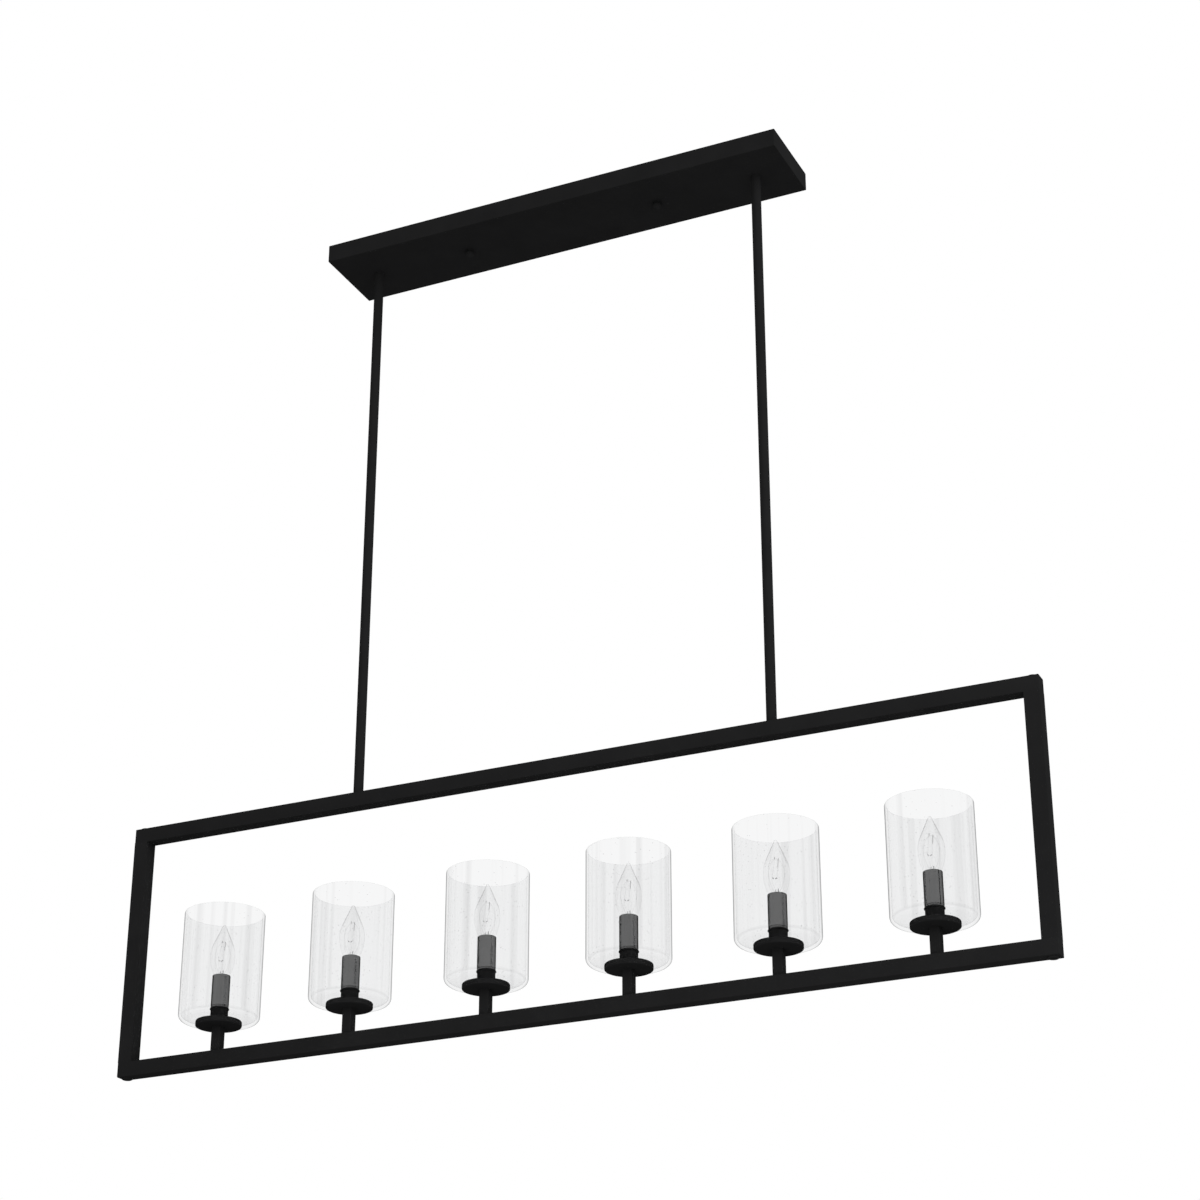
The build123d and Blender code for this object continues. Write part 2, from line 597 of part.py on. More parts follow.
def earth_wire():
    """From the middle connector to a tongue eyelet under the left rod's nut."""
    radius = EARTH_WIRE_DIAMETER / 2
    rod_x = ROD_PLACES[0]
    mouth = rod_x + CONNECTOR_REACH
    axis = CANOPY_FLOOR + CONNECTOR_DIAMETER / 2
    low = CANOPY_FLOOR + radius
    points = [
        (mouth + CONNECTOR_BORE_DEPTH, 0, axis), (mouth - WIRE_LEAD, 0, axis),
        (rod_x + EYELET_TONGUE_REACH + WIRE_BEND, 0, low), (rod_x + NUT_CORNER + NUT_TO_WIRE, 0, low),
    ]
    outline = Circle(EYELET_DIAMETER / 2)
    outline += Pos(EYELET_TONGUE_REACH / 2, 0) * Rectangle(EYELET_TONGUE_REACH, EYELET_TONGUE_WIDTH)
    outline -= Circle(THREAD_HOLE)
    eyelet = Pos(rod_x, 0, CANOPY_FLOOR) * extrude(outline, EYELET_THICKNESS)
    return along(points, radius, WIRE_BEND) + eyelet


# ---------------------------------------------------------------- all nodes

save("canopy_pan", canopy_pan())
save("mounting_strap", mounting_strap())
save("canopy_studs", *[canopy_stud(x) for x in STUD_PLACES])
save("canopy_knob_left", canopy_knob(STUD_PLACES[0]))
save("canopy_knob_right", canopy_knob(STUD_PLACES[1]))
save("rod_left", rod(ROD_PLACES[0], EYELET_THICKNESS))
save("rod_right", rod(ROD_PLACES[1], 0))
save("lock_nuts", *lock_nuts())
save("top_bar", top_bar())
save("bottom_bar", bottom_bar())
save("upright_left", upright(-1))
save("upright_right", upright(1))
save("corner_plugs", *[corner_plug(side, low) for side in (-1, 1)
                       for low in (BOTTOM_BAR_TOP, TOP_BAR_UNDER - PLUG_LENGTH)])
save("corner_screws", *[corner_screw(side, seat, up) for side in (-1, 1)
                        for seat, up in ((FRAME_TOP, True), (FRAME_BOTTOM, False))])
save("lamp_nipples", *[lamp_nipple(x) for x in LAMP_PLACES])
save("wire_connectors", *[wire_connector(y) for y in (-CONNECTOR_PITCH, 0, CONNECTOR_PITCH)])
save("supply_wires", *[supply_wire(y) for y in WIRE_SIDES])
save("earth_wire", earth_wire())

for number, x in enumerate(LAMP_PLACES, start=1):
    save(f"post_{number}", post(x))
    save(f"holder_dish_{number}", holder_dish(x))
    save(f"socket_{number}", *socket(x))
    save(f"shade_ring_{number}", shade_ring(x))
    save(f"glass_shade_{number}", glass_shade(x))
    save(f"candle_sleeve_{number}", candle_sleeve(x))
    save(f"bulb_{number}", *bulb(x))
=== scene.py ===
import math

import bmesh
import bpy
from mathutils import Matrix, Vector


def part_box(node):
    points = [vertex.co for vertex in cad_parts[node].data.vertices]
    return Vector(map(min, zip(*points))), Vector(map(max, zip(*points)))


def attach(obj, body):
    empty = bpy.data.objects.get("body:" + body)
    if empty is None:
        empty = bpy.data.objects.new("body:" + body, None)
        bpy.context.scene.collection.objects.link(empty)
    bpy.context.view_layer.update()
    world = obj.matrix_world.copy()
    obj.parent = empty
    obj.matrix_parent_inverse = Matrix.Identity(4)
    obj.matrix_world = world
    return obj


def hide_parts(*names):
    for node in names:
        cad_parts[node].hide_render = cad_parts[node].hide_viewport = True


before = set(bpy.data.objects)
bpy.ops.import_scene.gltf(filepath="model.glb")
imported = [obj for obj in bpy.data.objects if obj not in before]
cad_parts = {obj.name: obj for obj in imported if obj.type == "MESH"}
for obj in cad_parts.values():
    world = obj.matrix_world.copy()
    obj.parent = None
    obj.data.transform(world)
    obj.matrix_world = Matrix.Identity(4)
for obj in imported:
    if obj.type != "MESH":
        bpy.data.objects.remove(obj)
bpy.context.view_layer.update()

# The row of lamps, in metres, and heights that are read from the frame
LAMP_COUNT = 6
LAMP_PITCH = 0.1876
LAMPS = [((number - (LAMP_COUNT + 1) / 2) * LAMP_PITCH, number)
         for number in range(1, LAMP_COUNT + 1)]
DISH_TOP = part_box("holder_dish_1")[1].z
SHADE_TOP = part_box("glass_shade_1")[1].z
SLEEVE_FOOT, SLEEVE_TOP = (corner.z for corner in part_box("candle_sleeve_1"))
BULB_CONTACT, BULB_TIP = (corner.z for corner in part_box("bulb_1"))

# Heights that the glass materials use: where the painted shade line at the shade's inner bend
# starts, is darkest and ends, and where the bulb's painted dark outline begins to darken and is
# darkest
BEND_LOW, BEND_MIDDLE, BEND_HIGH = DISH_TOP + 0.0042, DISH_TOP + 0.0056, DISH_TOP + 0.0090
PEAK_LOW, PEAK_HIGH = BULB_TIP - 0.034, BULB_TIP - 0.008


# ---------------------------------------------------------------- finishes

class Value:
    """A number that changes over a surface. Sums and products of values add their Math nodes."""

    def __init__(self, nodes, socket):
        self.nodes = nodes
        self.socket = socket

    def math(self, operation, *terms):
        return self.nodes.node("ShaderNodeMath", {"operation": operation}, *terms)

    def most(self, other):
        return self.math("MAXIMUM", self, other)

    def __add__(self, other):
        return self.math("ADD", self, other)

    def __sub__(self, other):
        return self.math("SUBTRACT", self, other)

    def __mul__(self, other):
        return self.math("MULTIPLY", self, other)

    def __rsub__(self, other):
        return self.math("SUBTRACT", other, self)

    def __pow__(self, other):
        return self.math("POWER", self, other)

    __radd__ = __add__
    __rmul__ = __mul__


class Nodes:
    """The nodes of a material or a world, made one by one."""

    def __init__(self, owner):
        owner.use_nodes = True
        self.tree = owner.node_tree
        self.tree.nodes.clear()

    def make(self, kind, settings, *inputs, **named):
        """Adds a node: its settings first, then its sockets by order or by name."""
        made = self.tree.nodes.new(kind)
        for key, value in settings.items():
            setattr(made, key, value)
        wanted = list(zip(made.inputs, inputs))
        wanted += [(made.inputs[key], value) for key, value in named.items()]
        for socket, value in wanted:
            value = value.socket if isinstance(value, Value) else value
            if isinstance(value, bpy.types.NodeSocket):
                self.tree.links.new(value, socket)
            else:
                socket.default_value = value
        return made

    def node(self, kind, settings, *inputs, output=0, **named):
        """Adds a node and hands back one of its outputs as a value."""
        return Value(self, self.make(kind, settings, *inputs, **named).outputs[output])


# A Mix node has its colour sockets behind those for numbers and vectors of the same names
MIX_FIRST, MIX_SECOND, MIX_RESULT = 6, 7, 2


class Finish(Nodes):
    """A material, with the patterns and measures that its surface follows."""

    def __init__(self, name):
        self.material = bpy.data.materials.new(name)
        super().__init__(self.material)
        self.place = self.make("ShaderNodeTexCoord", {}).outputs["Object"]

    def stretched(self, x, y, z):
        """Object coordinates, scaled differently along the three axes."""
        return self.node("ShaderNodeMapping", {}, Vector=self.place, Scale=(x, y, z))

    def noise(self, scale, detail=2.0, roughness=0.5, place=None):
        return self.node("ShaderNodeTexNoise", {}, Vector=place or self.place, Scale=scale,
                         Detail=detail, Roughness=roughness)

    def between(self, value, low, high, to_low=0.0, to_high=1.0):
        """Spreads the part of a value from low to high over a new span."""
        return self.node("ShaderNodeMapRange", {}, value, low, high, to_low, to_high)

    def tint(self, factor, first, second):
        """A colour between two, by a value."""
        made = self.make("ShaderNodeMix", {"data_type": "RGBA"}, factor)
        made.inputs[MIX_FIRST].default_value = (*first, 1.0)
        made.inputs[MIX_SECOND].default_value = (*second, 1.0)
        return Value(self, made.outputs[MIX_RESULT])

    def attribute(self, name):
        """A number that the piece's own mesh carries from point to point."""
        return self.node("ShaderNodeAttribute", {"attribute_name": name}, output="Fac")

    def height(self):
        """The height in object coordinates."""
        return self.node("ShaderNodeSeparateXYZ", {}, self.place, output="Z")

    def facing(self):
        """From 0 where the surface faces the eye to 1 where it turns away."""
        return self.node("ShaderNodeLayerWeight", {}, Blend=0.5, output="Facing")

    def bump(self, height, distance, strength=1.0):
        return self.node("ShaderNodeBump", {}, Strength=strength, Distance=distance, Height=height)

    def surface(self, **inputs):
        """Ends the material in one Principled shader. Underscores in names stand for spaces."""
        named = {key.replace("_", " "): value for key, value in inputs.items()}
        return self.ended(self.node("ShaderNodeBsdfPrincipled", {}, **named))

    def ended(self, shader):
        """Ends the material in a shader, and hands it over."""
        self.make("ShaderNodeOutputMaterial", {}, Surface=shader)
        return self.material


def grey(level):
    return (level, level, level)


def powder_coat():
    """Flat black powder coat: a fine orange peel, with a little variation in its depth."""
    f = Finish("powder_coat")
    peel = f.noise(1500.0, 3.0, 0.55)
    cloud = f.noise(22.0, 4.0, 0.6)
    speck = f.noise(4200.0, 1.0)
    colour = f.tint(f.between(cloud, 0.3, 0.7),
                    (0.0156, 0.0156, 0.0159), (0.0184, 0.0184, 0.0187))
    rough = f.between(cloud * 0.6 + speck * 0.4, 0.3, 0.7, 0.60, 0.72)
    return f.surface(Base_Color=colour, Roughness=rough, Specular_IOR_Level=0.0,
                     Normal=f.bump(peel + speck * 0.3, 0.00008, 0.55))


def zinc_plate():
    """Zinc plated steel, with the faint cloudiness of the bath."""
    f = Finish("zinc_plate")
    cloud = f.noise(160.0, 4.0, 0.6)
    grain = f.noise(1.0, 2.0, 0.5, f.stretched(300.0, 4200.0, 4200.0))
    colour = f.tint(cloud, (0.34, 0.345, 0.35), (0.46, 0.46, 0.455))
    rough = f.between(cloud, 0.3, 0.7, 0.26, 0.44)
    return f.surface(Base_Color=colour, Metallic=1.0, Roughness=rough,
                     Normal=f.bump(grain, 0.00003, 0.5))


def sleeve_plate():
    """Smoked plating on the candle sleeves: a dim, even mirror with a faint peel."""
    f = Finish("sleeve_plate")
    cloud = f.noise(60.0, 3.0)
    peel = f.noise(900.0, 2.0)
    colour = f.tint(f.between(cloud, 0.3, 0.7), grey(0.150), grey(0.160))
    rough = f.between(peel, 0.3, 0.7, 0.07, 0.12)
    return f.surface(Base_Color=colour, Metallic=1.0, Roughness=rough,
                     Specular_Tint=(0.15, 0.15, 0.15, 1.0), Normal=f.bump(peel, 0.00002, 0.2))


def phenolic():
    """Moulded black socket body."""
    f = Finish("phenolic")
    cloud = f.noise(240.0, 3.0)
    grain = f.noise(2600.0, 2.0)
    colour = f.tint(cloud, grey(0.010), grey(0.017))
    return f.surface(Base_Color=colour, Roughness=f.between(grain, 0.3, 0.7, 0.44, 0.56),
                     Normal=f.bump(grain, 0.00003, 0.6))


def clear_glass(f, passing, shine, marks_and_painted_shade):
    """Thin glass: the colour that it lets through, its mirror shine, and a grey veil over both,
    which carries the glass's own marks and painted shade.
    """
    clear = f.node("ShaderNodeBsdfTransparent", {}, Color=(*passing, 1.0))
    mirror = f.node("ShaderNodeBsdfAnisotropic", {}, Color=(0.95, 0.95, 0.95, 1.0), Roughness=0.04)
    # The grey that painted shade and the glass's own marks turn the glass towards
    grey_veil = f.node("ShaderNodeBsdfTransparent", {}, Color=(0.10, 0.10, 0.105, 1.0))
    lit = f.node("ShaderNodeMixShader", {}, shine, clear, mirror)
    return f.ended(f.node("ShaderNodeMixShader", {}, marks_and_painted_shade, lit, grey_veil))


def shade_glass():
    """Clear blown glass with seeds: painted grey at its edges and its foot's bend, with upright
    streaks of painted reflection.
    """
    f = Finish("shade_glass")
    facing = f.facing()
    outside = f.attribute("outside")
    height = f.height()
    # Painted shade: grey towards the outline, most on the outer face, where the bent light would
    # show darker things
    edge = (0.15 + outside * 1.6) * facing ** 11
    # Painted reflection: soft upright streaks, which fade in above the foot's bend
    fine = f.noise(1.0, 2.0, 0.55, f.stretched(130.0, 130.0, 0.9))
    broad = f.noise(1.0, 1.0, 0.5, f.stretched(76.0, 76.0, 0.6))
    painted_reflection_streaks = f.between(fine, 0.62, 0.74) * 0.025 + f.between(broad, 0.58, 0.66) * 0.055
    painted_reflection_streaks = painted_reflection_streaks * f.between(height, BEND_LOW, BEND_HIGH)
    bubble = f.node("ShaderNodeTexVoronoi", {}, Vector=f.place, Scale=190.0)
    seeds = f.between(bubble, 0.06, 0.11, 1.0, 0.0) * f.between(f.noise(60.0), 0.47, 0.53)
    # Painted shade: a grey line round the inside of the foot's bend, darkest at its middle height
    painted_bend_shade = f.between(height, BEND_LOW, BEND_MIDDLE)
    painted_bend_shade = painted_bend_shade * f.between(height, BEND_MIDDLE, BEND_HIGH, 1.0, 0.0) * (1 - outside)
    return clear_glass(f, (0.961, 0.962, 0.963), 0.10 * facing ** 4,
                       edge + painted_reflection_streaks + seeds * 0.5 + painted_bend_shade * 0.10)


def bulb_glass():
    """Thin clear glass, with painted dark outlines where the light bends: one at its edge, a
    second, narrower one inside the first, and more of it towards the tip.
    """
    f = Finish("bulb_glass")
    facing = f.facing()
    outside = f.attribute("outside")
    # Painted shade: the dark outlines that bent light would draw
    inner = f.between(facing, 0.20, 0.222) * f.between(facing, 0.222, 0.245, 1.0, 0.0)
    peak = f.between(f.height(), PEAK_LOW, PEAK_HIGH)
    painted_outlines = 0.34 * facing ** 10 + 0.15 * inner + 0.8 * peak * facing ** 4
    return clear_glass(f, grey(0.991), 0.08 * facing ** 4, outside * painted_outlines)


def stem_glass():
    """Pressed glass, thick and a little cloudy, with painted shade towards its edges."""
    f = Finish("stem_glass")
    cloud = f.noise(400.0, 2.0)
    facing = f.facing()
    # Painted shade towards the edges, over the glass's own cloudiness
    return clear_glass(f, grey(0.98), 0.06 * facing ** 4, 0.07 * facing ** 3 + cloud * 0.03)


def cap_metal():
    """Nickel plated screw cap."""
    f = Finish("cap_metal")
    cloud = f.noise(300.0, 3.0)
    colour = f.tint(cloud, (0.56, 0.53, 0.47), (0.70, 0.67, 0.60))
    rough = f.between(cloud, 0.3, 0.7, 0.20, 0.34)
    return f.surface(Base_Color=colour, Metallic=1.0, Roughness=rough,
                     Normal=f.bump(cloud, 0.00003, 0.4))


def drawn_wire(name, scale, detail, first, second, metallic, smoothest, roughest):
    """Bare wire, its colour and shine a little uneven along it."""
    f = Finish(name)
    cloud = f.noise(scale, detail)
    return f.surface(Base_Color=f.tint(cloud, first, second), Metallic=metallic,
                     Roughness=f.between(cloud, 0.3, 0.7, smoothest, roughest))


def moulded(name, first, second):
    """Matt moulded plastic or wire jacket in a colour."""
    f = Finish(name)
    cloud = f.noise(180.0, 3.0)
    grain = f.noise(3000.0, 2.0)
    rough = f.between(grain, 0.3, 0.7, 0.4, 0.55)
    return f.surface(Base_Color=f.tint(cloud, first, second), Roughness=rough,
                     Normal=f.bump(grain, 0.00003, 0.5))


BLACK = powder_coat()
ZINC = zinc_plate()
SLEEVE = sleeve_plate()
PHENOLIC = phenolic()
SHADE = shade_glass()
BULB = bulb_glass()
STEM = stem_glass()
CAP = cap_metal()
TUNGSTEN = drawn_wire("tungsten", 1500.0, 2.0, (0.05, 0.05, 0.052), grey(0.11), 0.8, 0.35, 0.5)
NICKEL = drawn_wire("nickel", 900.0, 2.0, grey(0.74), grey(0.84), 1.0, 0.16, 0.28)
CONNECTOR = moulded("connector_plastic", (0.62, 0.17, 0.025), (0.75, 0.23, 0.04))
JACKET = moulded("wire_jacket", grey(0.018), grey(0.028))
COPPER = drawn_wire("copper_wire", 260.0, 3.0, (0.60, 0.28, 0.15), (0.72, 0.38, 0.22),
                    1.0, 0.26, 0.42)

NODE_FINISHES = {
    "mounting_strap": ZINC, "canopy_studs": ZINC, "lock_nuts": ZINC, "corner_plugs": ZINC,
    "lamp_nipples": ZINC, "wire_connectors": CONNECTOR, "supply_wires": JACKET,
    "earth_wire": COPPER,
}
NODE_FINISHES.update({f"socket_{number}": PHENOLIC for _, number in LAMPS})
for name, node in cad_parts.items():
    for slot in node.material_slots:
        slot.material = NODE_FINISHES.get(name, BLACK)


# ---------------------------------------------------------------- modelling

# Two points nearer than the first distance become one. The second is the radius of the small ring
# that ends a round piece, until it is gathered into a point
SAME_POINT = 0.000002
POLE = 0.00001


def start(add, name, finish, **words):
    """Adds a primitive with nothing else selected, and opens it for editing."""
    bpy.ops.object.select_all(action="DESELECT")
    add(**words)
    piece = bpy.context.object
    piece.name = piece.data.name = name
    piece.data.materials.append(finish)
    bpy.ops.object.mode_set(mode="EDIT")
    bpy.ops.mesh.select_all(action="SELECT")
    return piece


def done(piece, smooth=35):
    """Closes an edited piece, its place moved into its mesh. Edges under the angle look smooth."""
    bpy.ops.mesh.select_all(action="SELECT")
    bpy.ops.mesh.remove_doubles(threshold=SAME_POINT)
    bpy.ops.mesh.normals_make_consistent(inside=False)
    bpy.ops.object.mode_set(mode="OBJECT")
    bpy.ops.object.transform_apply(location=True, rotation=True, scale=True)
    bpy.ops.object.shade_smooth_by_angle(angle=math.radians(smooth))
    return piece


def gather(piece, height):
    """Draws the small ring that ends a round piece together into one point on its axis."""
    mesh = bmesh.from_edit_mesh(piece.data)
    for vert in mesh.verts:
        place = piece.matrix_world @ vert.co
        vert.select = math.hypot(place.x, place.y) < 2 * POLE and abs(place.z - height) < POLE
    mesh.select_flush_mode()
    bmesh.update_edit_mesh(piece.data)
    bpy.ops.mesh.merge(type="COLLAPSE")


def pull(x, y, z):
    """Draws the selected edge or face on, by a step."""
    bpy.ops.mesh.extrude_region_move(TRANSFORM_OT_translate={"value": (x, y, z)})


def thrown(name, finish, rings, sides):
    """A round piece, drawn up ring by ring as on a wheel. A ring of no radius closes an end."""
    radius, height = max(rings[0][0], POLE), rings[0][1]
    piece = start(bpy.ops.mesh.primitive_circle_add, name, finish, vertices=sides, radius=radius,
                  location=(0, 0, height))
    for ring_radius, ring_height in rings[1:]:
        wide = max(ring_radius, POLE)
        pull(0, 0, ring_height - height)
        bpy.ops.transform.resize(value=(wide / radius, wide / radius, 1),
                                 center_override=(0, 0, ring_height))
        radius, height = wide, ring_height
    for end_radius, end_height in (rings[0], rings[-1]):
        if end_radius == 0:
            gather(piece, end_height)
    return done(piece)


def wound(piece, pitch, turns, steps):
    """Leaves edit mode, winds the piece's outline into a screw round Z, and opens it again."""
    bpy.ops.object.mode_set(mode="OBJECT")
    winding = piece.modifiers.new("winding", "SCREW")
    winding.axis = "Z"
    winding.angle = 2 * math.pi
    winding.screw_offset = pitch
    winding.iterations = turns
    winding.steps = winding.render_steps = steps
    bpy.ops.object.modifier_apply(modifier=winding.name)
    bpy.ops.object.mode_set(mode="EDIT")


def strand(finish, radius, *points):
    """A stiff wire, pulled from point to point."""
    piece = start(bpy.ops.mesh.primitive_circle_add, "strand", finish, vertices=6, radius=radius,
                  fill_type="NGON", location=points[0])
    for here, there in zip(points, points[1:]):
        pull(*(Vector(there) - Vector(here)))
    return done(piece)


def coil(foot, head, wire, radius, pitch):
    """A helix of filament wire between two points."""
    axis = Vector(head) - Vector(foot)
    piece = start(bpy.ops.mesh.primitive_circle_add, "coil", TUNGSTEN, vertices=5, radius=wire,
                  fill_type="NOTHING", location=foot)
    bpy.ops.transform.rotate(value=math.pi / 2, orient_axis="X", center_override=foot)
    bpy.ops.transform.translate(value=(radius, 0, 0))
    wound(piece, pitch, round(axis.length / pitch), 10)
    piece.rotation_euler = axis.to_track_quat("Z", "Y").to_euler()
    return done(piece)


def joined(name, *parts):
    """Several finished pieces made one."""
    bpy.ops.object.select_all(action="DESELECT")
    for part in parts:
        part.select_set(True)
    bpy.context.view_layer.objects.active = parts[0]
    bpy.ops.object.join()
    whole = bpy.context.object
    whole.name = whole.data.name = name
    return whole


def walled(piece):
    """Marks the points of a hollow round piece: 1 on its outer side, 0 on its inner side."""
    outside = piece.data.attributes.new("outside", "FLOAT", "POINT")
    for vert in piece.data.vertices:
        reach = math.hypot(vert.co.x, vert.co.y)
        away = (vert.normal.x * vert.co.x + vert.normal.y * vert.co.y) / max(reach, POLE)
        outside.data[vert.index].value = min(max(0.5 + away, 0.0), 1.0)
    return piece


def rounded(centre, radius, first, last, steps):
    """Points on an arc of a profile, angles in degrees from the outward direction."""
    spread = [math.radians(first + (last - first) * step / steps) for step in range(steps + 1)]
    return [(centre[0] + radius * math.cos(a), centre[1] + radius * math.sin(a)) for a in spread]


def rings_above(level, rings):
    """Rings of a profile in metres, from radii and heights over a level in millimetres."""
    return [(radius / 1000, level + height / 1000) for radius, height in rings]


def riding(piece, body, replaced=()):
    """Sets a finished piece on its body, in the place of the nodes that it stands for."""
    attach(piece, body)
    if replaced:
        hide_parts(*replaced)
    return piece


def placed(pattern, x, number, body, replaced=()):
    """A copy of a pattern piece at its lamp's place in the row, riding on its body."""
    copy = pattern.copy()
    copy.data = pattern.data.copy()
    copy.name = copy.data.name = f"{pattern.name}_{number}"
    copy.data.transform(Matrix.Translation((x, 0, 0)))
    bpy.context.scene.collection.objects.link(copy)
    return riding(copy, body, replaced)


# The frame: square tubes with crisp edges. The uprights run into the bars with no step
TUBE_EDGE = 0.0007


def square_tube(name, low, high, along_only=False):
    """A tube from corner to corner. Its edges are rounded all round, or only along its length."""
    middle = (Vector(low) + Vector(high)) / 2
    piece = start(bpy.ops.mesh.primitive_cube_add, name, BLACK, size=1.0, location=middle)
    bpy.ops.transform.resize(value=Vector(high) - Vector(low), center_override=middle)
    if along_only:
        bpy.ops.mesh.select_all(action="DESELECT")
        mesh = bmesh.from_edit_mesh(piece.data)
        for edge in mesh.edges:
            ends = [vert.co.z for vert in edge.verts]
            edge.select_set(abs(ends[0] - ends[1]) > TUBE_EDGE)
        bmesh.update_edit_mesh(piece.data)
    bpy.ops.mesh.bevel(offset=TUBE_EDGE, segments=3, affect="EDGES")
    return done(piece, 40)


for name in ("top_bar", "bottom_bar"):
    riding(square_tube(f"{name}_tube", *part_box(name)), "fixture", [name])
for name in ("upright_left", "upright_right"):
    low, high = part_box(name)
    low, high = low - Vector((0, 0, TUBE_EDGE)), high + Vector((0, 0, TUBE_EDGE))
    riding(square_tube(f"{name}_tube", low, high, True), "fixture", [name])

# Corner screws: low domed heads with a hexagon socket, two above the frame and two below
HEAD_RADIUS = 0.0068
HEAD_HEIGHT = 0.0021
HEAD_EDGE = 0.0016
KEY_RADIUS = 0.0023
KEY_DEPTH = 0.0016


def screw_head(x, seat, way):
    """A head on the frame at a height, its dome up (1) or down (-1)."""
    dome = rounded((HEAD_RADIUS - HEAD_EDGE, HEAD_HEIGHT - HEAD_EDGE), HEAD_EDGE, 0, 90, 6)
    rings = [(0, seat), (HEAD_RADIUS, seat)]
    rings += [(radius, seat + way * height) for radius, height in dome]
    head = thrown("head", BLACK, rings + [(0, seat + way * HEAD_HEIGHT)], 48)
    key = done(start(bpy.ops.mesh.primitive_cylinder_add, "key", BLACK, vertices=6,
                     radius=KEY_RADIUS, depth=2 * KEY_DEPTH,
                     location=(0, 0, seat + way * HEAD_HEIGHT)))
    socket = head.modifiers.new("socket", "BOOLEAN")
    socket.operation = "DIFFERENCE"
    socket.object = key
    bpy.context.view_layer.objects.active = head
    bpy.ops.object.modifier_apply(modifier=socket.name)
    bpy.data.objects.remove(key)
    head.data.transform(Matrix.Translation((x, 0, 0)))
    return head


UPRIGHT_X = (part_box("upright_right")[0].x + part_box("upright_right")[1].x) / 2
FRAME_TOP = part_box("top_bar")[1].z
FRAME_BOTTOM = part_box("bottom_bar")[0].z
heads = [screw_head(x, seat, way) for seat, way in ((FRAME_TOP, 1), (FRAME_BOTTOM, -1))
         for x in (UPRIGHT_X, -UPRIGHT_X)]
riding(joined("corner_screw_heads", *heads), "fixture", ["corner_screws"])

# The glass cylinder: a rounded foot, a floor with a hole, and a fire-polished rim
WALL = 0.003
FLOOR = 0.004
CORNER = 0.0075
OUTER = 0.0508
INNER = OUTER - WALL
HOLE = 0.0098
RIM = 0.0012
INNER_CORNER = CORNER - WALL
GIRTHS = [DISH_TOP + share * (SHADE_TOP - DISH_TOP) for share in (0.3, 0.55, 0.8)]

shade_rings = [(HOLE, DISH_TOP)]
shade_rings += rounded((OUTER - CORNER, DISH_TOP + CORNER), CORNER, -90, 0, 10)
shade_rings += [(OUTER, height) for height in GIRTHS]
shade_rings += rounded((OUTER - RIM, SHADE_TOP - RIM), RIM, 0, 90, 4)
shade_rings += rounded((INNER + RIM, SHADE_TOP - RIM), RIM, 90, 180, 4)
shade_rings += [(INNER, height) for height in reversed(GIRTHS)]
shade_rings += rounded((INNER - INNER_CORNER, DISH_TOP + FLOOR + INNER_CORNER), INNER_CORNER,
                       0, -90, 8)
shade_rings += [(HOLE, DISH_TOP + FLOOR), (HOLE, DISH_TOP)]
shade = walled(thrown("shade", SHADE, shade_rings, 128))

# The candle sleeve: open at both ends, with a bead and a groove at its foot and a rolled rim
SLEEVE_OUTER = 0.0113
SLEEVE_WALL = 0.001
SLEEVE_BORE = SLEEVE_OUTER - SLEEVE_WALL
LIP = 0.0009
BEAD = 0.0018
BEAD_INSET = 0.0002
GROOVE = 0.0006
GROOVE_DEPTH = 0.0004
GROOVE_SLOPE = 0.00036

bead_top = SLEEVE_FOOT + BEAD
groove_radius = SLEEVE_OUTER - GROOVE_DEPTH
sleeve_rings = [(SLEEVE_BORE, SLEEVE_FOOT), (SLEEVE_OUTER - BEAD_INSET, SLEEVE_FOOT)]
sleeve_rings += rounded((SLEEVE_OUTER - BEAD / 2, SLEEVE_FOOT + BEAD / 2), BEAD / 2, -60, 60, 6)
sleeve_rings += [(groove_radius, bead_top), (groove_radius, bead_top + GROOVE),
                 (SLEEVE_OUTER, bead_top + GROOVE + GROOVE_SLOPE)]
sleeve_rings += rounded((SLEEVE_OUTER - LIP, SLEEVE_TOP - LIP), LIP, 0, 90, 4)
sleeve_rings += [(SLEEVE_BORE, SLEEVE_TOP), (SLEEVE_BORE, SLEEVE_FOOT)]
sleeve = thrown("sleeve", SLEEVE, sleeve_rings, 64)

# The bulb's outline: arcs for flare, belly and shoulder that run into each other, and a straight
# run to the tip's arc. Flare and shoulder end at the lean that is given with them
CAP_HEIGHT = 0.0186
CAP_TOP = BULB_CONTACT + CAP_HEIGHT
BULB_WALL = 0.0008
NECK_RADIUS = 0.0062
GIRTH_RADIUS = 0.0156
FLARE_RADIUS = 0.0248
FLARE_LEAN = 28.0
BELLY_RADIUS = ((GIRTH_RADIUS - NECK_RADIUS) / (1 - math.cos(math.radians(FLARE_LEAN)))
                - FLARE_RADIUS)
SHOULDER_RADIUS = 0.040
SHOULDER_LEAN = 23.5
TIP_RADIUS = 0.002


